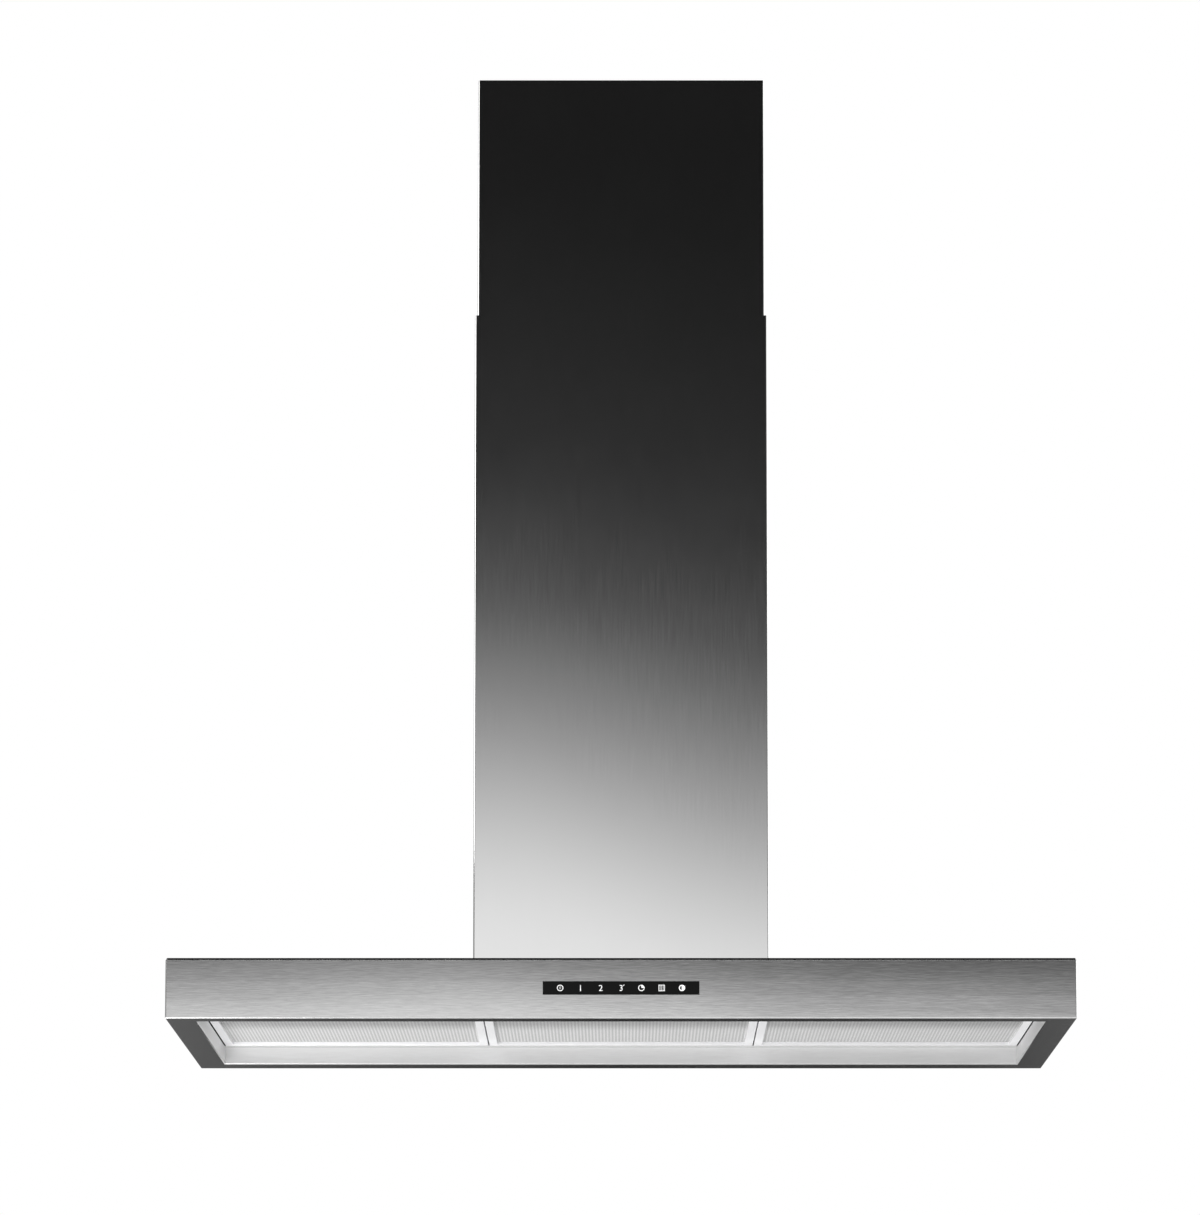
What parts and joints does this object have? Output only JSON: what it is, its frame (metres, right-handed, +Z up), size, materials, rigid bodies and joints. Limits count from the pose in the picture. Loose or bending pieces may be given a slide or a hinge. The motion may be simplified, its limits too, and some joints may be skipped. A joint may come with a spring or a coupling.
{
  "type": "island range hood",
  "caption": "Flat steel island hood: thin box canopy with grease filters below, hung from the ceiling on a telescopic frame inside a two-part square chimney.",
  "frame": {"origin": "centre of the ceiling plate's top face, on the chimney's axis", "axes": "+Z up along the chimney's axis to the ceiling, front (control side) faces -Y, +X to the right seen from the front"},
  "size_m": [0.898, 0.598, 0.979],
  "materials": {
    "brushed_cover": "fine vertical satin grain",
    "brushed_canopy": "long horizontal brushed grain",
    "zinc_sheet": "galvanised, faint spangle",
    "screw_steel": "plated, turned heads",
    "filter_aluminium": "bright rolled frame",
    "filter_mesh_aluminium": "expanded mesh, bright",
    "blade_aluminium": "plain rolled",
    "glass_black": "polished, opaque black backing",
    "lamp_lens": "frosted diffuser",
    "black_plastic": "fine moulded grain",
    "white_plastic": "fine moulded grain",
    "board_green": "solder mask",
    "gasket_foam": "closed-cell foam",
    "motor_paint": "black enamel"
  },
  "bodies": {
    "ceiling_frame": {"ceiling_plate": "zinc_sheet", "upper_rail_front_left": "zinc_sheet", "upper_rail_front_right": "zinc_sheet", "upper_rail_rear_left": "zinc_sheet", "upper_rail_rear_right": "zinc_sheet", "upper_brace": "zinc_sheet", "upper_cover_front": "brushed_cover", "upper_cover_rear": "brushed_cover", "upper_cover_screws": "brushed_cover"},
    "hood": {"lower_rail_front_left": "zinc_sheet", "lower_rail_front_right": "zinc_sheet", "lower_rail_rear_left": "zinc_sheet", "lower_rail_rear_right": "zinc_sheet", "lower_brace": "zinc_sheet", "frame_screws": "screw_steel", "base_screws": "screw_steel", "canopy_shell": "brushed_canopy", "canopy_top": "brushed_canopy", "lamp_panel": "brushed_canopy", "filter_ledge": "brushed_canopy", "lamp_left_housing": "brushed_canopy", "lamp_right_housing": "brushed_canopy", "lamp_left_lens": "lamp_lens", "lamp_right_lens": "lamp_lens", "control_glass": "glass_black", "control_carrier": "black_plastic", "control_board": "board_green", "control_box": "white_plastic", "control_box_lid": "white_plastic", "cable_gland": "black_plastic", "blower_casing": "zinc_sheet", "blower_gasket": "gasket_foam", "casing_screws": "screw_steel", "scroll_left": "black_plastic", "scroll_right": "black_plastic", "motor_body": "motor_paint", "motor_bracket": "zinc_sheet", "capacitor": "white_plastic", "outlet_collar": "black_plastic"},
    "lower_cover": {"lower_cover_front": "brushed_cover", "lower_cover_rear": "brushed_cover", "lower_cover_screws": "brushed_cover"},
    "blower_wheel": {"impeller": "blade_aluminium", "motor_shaft": "screw_steel"},
    "damper_front": {"damper_flap_front": "zinc_sheet"},
    "damper_rear": {"damper_flap_rear": "zinc_sheet"},
    "filter_left": {"filter_frame_left": "filter_aluminium", "filter_mesh_left": "filter_mesh_aluminium"},
    "latch_left": {"latch_slider_left": "screw_steel"},
    "filter_middle": {"filter_frame_middle": "filter_aluminium", "filter_mesh_middle": "filter_mesh_aluminium"},
    "latch_middle": {"latch_slider_middle": "screw_steel"},
    "filter_right": {"filter_frame_right": "filter_aluminium", "filter_mesh_right": "filter_mesh_aluminium"},
    "latch_right": {"latch_slider_right": "screw_steel"}
  },
  "joints": [
    {"name": "height_adjust", "type": "slide", "parent": "ceiling_frame", "child": "hood", "axis": [0, 0, 1], "range_m": [-0.1, 0.08]},
    {"name": "lower_cover_slide", "type": "slide", "parent": "hood", "child": "lower_cover", "axis": [0, 0, 1], "range_m": [0, 0.16]},
    {"name": "blower_spin", "type": "hinge", "parent": "hood", "child": "blower_wheel", "pos_m": [0, 0.04371, -0.8085], "axis": [1, 0, 0], "continuous": true},
    {"name": "damper_front_swing", "type": "hinge", "parent": "hood", "child": "damper_front", "pos_m": [0, -0.006, -0.595], "axis": [-1, 0, 0], "range_deg": [0, 75]},
    {"name": "damper_rear_swing", "type": "hinge", "parent": "hood", "child": "damper_rear", "pos_m": [0, 0.006, -0.595], "axis": [1, 0, 0], "range_deg": [0, 75]},
    {"name": "filter_left_swing", "type": "hinge", "parent": "hood", "child": "filter_left", "pos_m": [-0.27957, 0.2253, -0.961], "axis": [1, 0, 0], "range_deg": [0, 80]},
    {"name": "filter_middle_swing", "type": "hinge", "parent": "hood", "child": "filter_middle", "pos_m": [0, 0.2253, -0.961], "axis": [1, 0, 0], "range_deg": [0, 80]},
    {"name": "filter_right_swing", "type": "hinge", "parent": "hood", "child": "filter_right", "pos_m": [0.27957, 0.2253, -0.961], "axis": [1, 0, 0], "range_deg": [0, 80]},
    {"name": "latch_left_slide", "type": "slide", "parent": "filter_left", "child": "latch_left", "axis": [0, 1, 0], "range_m": [0, 0.0035], "stiffness_N_per_m": 300, "springref_m": -0.003},
    {"name": "latch_middle_slide", "type": "slide", "parent": "filter_middle", "child": "latch_middle", "axis": [0, 1, 0], "range_m": [0, 0.0035], "stiffness_N_per_m": 300, "springref_m": -0.003},
    {"name": "latch_right_slide", "type": "slide", "parent": "filter_right", "child": "latch_right", "axis": [0, 1, 0], "range_m": [0, 0.0035], "stiffness_N_per_m": 300, "springref_m": -0.003}
  ]
}
